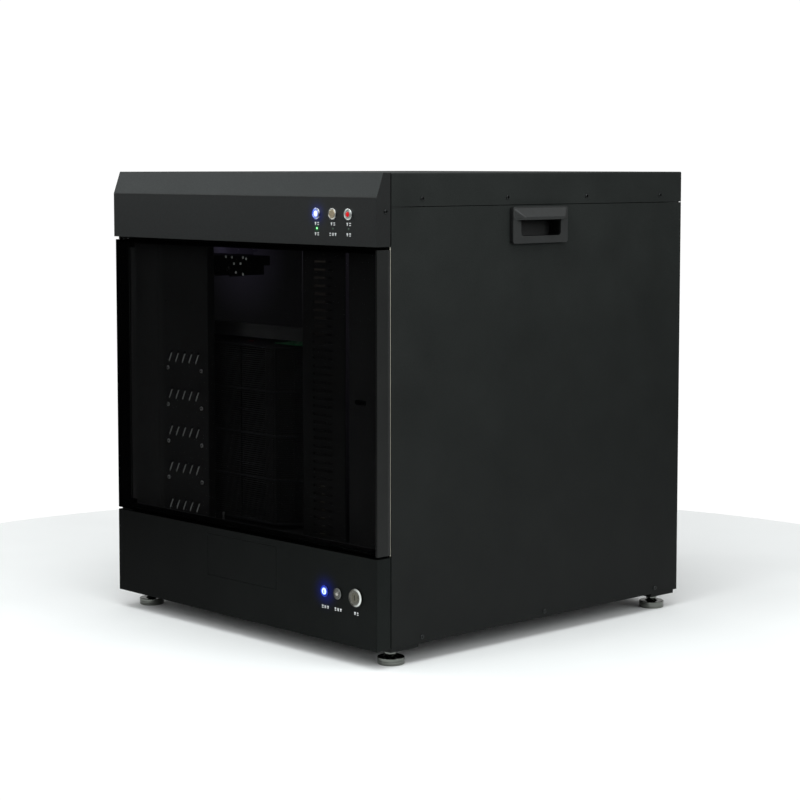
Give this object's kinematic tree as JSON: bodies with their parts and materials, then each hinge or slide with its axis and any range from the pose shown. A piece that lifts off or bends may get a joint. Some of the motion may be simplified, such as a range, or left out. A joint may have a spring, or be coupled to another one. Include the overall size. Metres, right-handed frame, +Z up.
{
  "type": "optical disc library",
  "caption": "Floor-standing cabinet that stores optical discs in a turning drum behind a smoked-glass door and carries them to its drives",
  "frame": {"origin": "on the floor, under the middle of the cabinet's bounding box", "axes": "+X is the cabinet's right side seen from the front, -Y is the front with the glass door, +Z is up"},
  "size_m": [0.73, 0.7442, 0.783],
  "materials": {
    "black_coat": "fine-textured black powder coat, satin",
    "chrome": "polished",
    "button_steel": "satin, fine turned face",
    "rail_steel": "ground",
    "screw_steel": "plain zinc-plated heads",
    "zinc_sheet": "dull zinc-plated sheet",
    "aluminium": "anodised, satin",
    "dark_plate": "black anodised",
    "brass": "machined",
    "motor_black": "semi-matt black",
    "black_plastic": "moulded, fine texture",
    "socket_plastic": "smooth",
    "board": "solder-resist green",
    "lens": "clear to frosted",
    "smoked_glass": "smoked, polished",
    "seal_rubber": "matt",
    "disc_mirror": "mirror-like polycarbonate"
  },
  "bodies": {
    "cabinet": {"base_plate": "black_coat", "foot_beams": "black_coat", "cabinet_frame": "black_coat", "side_panel_left": "black_coat", "side_panel_right": "black_coat", "top_cover": "black_coat", "rear_panel": "black_coat", "rear_sockets": "socket_plastic", "hood_shell": "black_coat", "indicator_lenses": "lens", "lower_fascia": "black_coat", "service_cover": "black_coat", "button_bezels": "button_steel", "pivot_brackets": "black_coat", "inner_deck": "black_coat", "left_trim_panel": "black_coat", "vent_panel": "black_coat", "slotted_pillar": "black_coat", "right_trim_panel": "black_coat", "partition": "black_coat", "picker_rail": "rail_steel", "light_strip": "lens", "circuit_boards": "board", "power_supply": "zinc_sheet", "drum_bearing": "rail_steel", "motors": "motor_black", "lift_rods": "rail_steel", "drive_rack": "zinc_sheet", "drive_bodies": "zinc_sheet", "fan_frame": "black_plastic", "carry_handles": "black_plastic", "screws": "screw_steel"},
    "door": {"door_frame": "black_coat", "door_catch": "black_plastic", "door_glass": "smoked_glass", "door_seal": "seal_rubber"},
    "key": {"key_barrel": "button_steel"},
    "drum": {"drum_plates": "dark_plate", "drum_spindle": "aluminium", "magazines": "black_plastic", "stored_discs": "disc_mirror"},
    "pinion": {"drum_pinion": "brass"},
    "lift": {"lift_carriage": "aluminium"},
    "shuttle": {"disc_shuttle": "black_plastic"},
    "picker": {"picker_carriage": "motor_black"},
    "finger_left": {"picker_finger_left": "rail_steel"},
    "finger_right": {"picker_finger_right": "rail_steel"},
    "fan": {"fan_rotor": "black_plastic"},
    "hood_key_1": {"hood_button_1": "button_steel"},
    "tray_1": {"drive_tray_1": "black_plastic"},
    "hood_key_2": {"hood_button_2": "button_steel"},
    "tray_2": {"drive_tray_2": "black_plastic"},
    "hood_key_3": {"hood_button_3": "button_steel"},
    "tray_3": {"drive_tray_3": "black_plastic"},
    "fascia_key_1": {"fascia_button_1": "button_steel"},
    "fascia_key_2": {"fascia_button_2": "button_steel"},
    "foot_front_left_turn": {"foot_front_left": "chrome"},
    "foot_front_right_turn": {"foot_front_right": "chrome"},
    "foot_rear_left_turn": {"foot_rear_left": "chrome"},
    "foot_rear_right_turn": {"foot_rear_right": "chrome"}
  },
  "joints": [
    {"name": "door_hinge", "type": "hinge", "parent": "cabinet", "child": "door", "pos_m": [-0.3305, -0.35585, 0.42], "axis": [0, 0, -1], "range_deg": [0, 110]},
    {"name": "key_turn", "type": "hinge", "parent": "cabinet", "child": "key", "pos_m": [0.2975, -0.35, 0.111], "axis": [0, -1, 0], "range_deg": [0, 90]},
    {"name": "drum_spin", "type": "hinge", "parent": "cabinet", "child": "drum", "pos_m": [-0.066, -0.084, 0.3], "axis": [0, 0, 1], "continuous": true},
    {"name": "pinion_spin", "type": "hinge", "parent": "cabinet", "child": "pinion", "pos_m": [0.05421, 0.03621, 0.183], "axis": [0, 0, 1], "continuous": true},
    {"name": "lift_slide", "type": "slide", "parent": "cabinet", "child": "lift", "axis": [0, 0, 1], "range_m": [0, 0.392]},
    {"name": "shuttle_slide", "type": "slide", "parent": "lift", "child": "shuttle", "axis": [0, 1, 0], "range_m": [-0.165, 0.172]},
    {"name": "picker_slide", "type": "slide", "parent": "cabinet", "child": "picker", "axis": [1, 0, 0], "range_m": [0, 0.381]},
    {"name": "finger_left_slide", "type": "slide", "parent": "picker", "child": "finger_left", "axis": [-1, 0, 0], "range_m": [0, 0.012]},
    {"name": "finger_right_slide", "type": "slide", "parent": "picker", "child": "finger_right", "axis": [1, 0, 0], "range_m": [0, 0.012]},
    {"name": "fan_spin", "type": "hinge", "parent": "cabinet", "child": "fan", "pos_m": [-0.2, 0.3525, 0.6], "axis": [0, 1, 0], "continuous": true},
    {"name": "hood_button_1_press", "type": "slide", "parent": "cabinet", "child": "hood_key_1", "axis": [0, 1, 0], "range_m": [0, 0.0012], "stiffness_N_per_m": 400},
    {"name": "hood_button_2_press", "type": "slide", "parent": "cabinet", "child": "hood_key_2", "axis": [0, 1, 0], "range_m": [0, 0.0012], "stiffness_N_per_m": 400},
    {"name": "hood_button_3_press", "type": "slide", "parent": "cabinet", "child": "hood_key_3", "axis": [0, 1, 0], "range_m": [0, 0.0012], "stiffness_N_per_m": 400},
    {"name": "fascia_button_1_press", "type": "slide", "parent": "cabinet", "child": "fascia_key_1", "axis": [0, 1, 0], "range_m": [0, 0.0012], "stiffness_N_per_m": 400},
    {"name": "fascia_button_2_press", "type": "slide", "parent": "cabinet", "child": "fascia_key_2", "axis": [0, 1, 0], "range_m": [0, 0.0012], "stiffness_N_per_m": 400},
    {"name": "tray_1_slide", "type": "slide", "parent": "cabinet", "child": "tray_1", "axis": [0, -1, 0], "range_m": [0, 0.13]},
    {"name": "tray_2_slide", "type": "slide", "parent": "cabinet", "child": "tray_2", "axis": [0, -1, 0], "range_m": [0, 0.13]},
    {"name": "tray_3_slide", "type": "slide", "parent": "cabinet", "child": "tray_3", "axis": [0, -1, 0], "range_m": [0, 0.13]},
    {"name": "foot_front_left_spin", "type": "hinge", "parent": "cabinet", "child": "foot_front_left_turn", "pos_m": [-0.319, -0.313, 0.02], "axis": [0, 0, 1], "continuous": true},
    {"name": "foot_front_right_spin", "type": "hinge", "parent": "cabinet", "child": "foot_front_right_turn", "pos_m": [0.319, -0.313, 0.02], "axis": [0, 0, 1], "continuous": true},
    {"name": "foot_rear_left_spin", "type": "hinge", "parent": "cabinet", "child": "foot_rear_left_turn", "pos_m": [-0.319, 0.3305, 0.02], "axis": [0, 0, 1], "continuous": true},
    {"name": "foot_rear_right_spin", "type": "hinge", "parent": "cabinet", "child": "foot_rear_right_turn", "pos_m": [0.319, 0.3305, 0.02], "axis": [0, 0, 1], "continuous": true}
  ],
  "couplings": [
    {"joint": "pinion_spin", "follows": "drum_spin", "ratio": -7.5},
    {"joint": "finger_right_slide", "follows": "finger_left_slide", "ratio": 1}
  ]
}
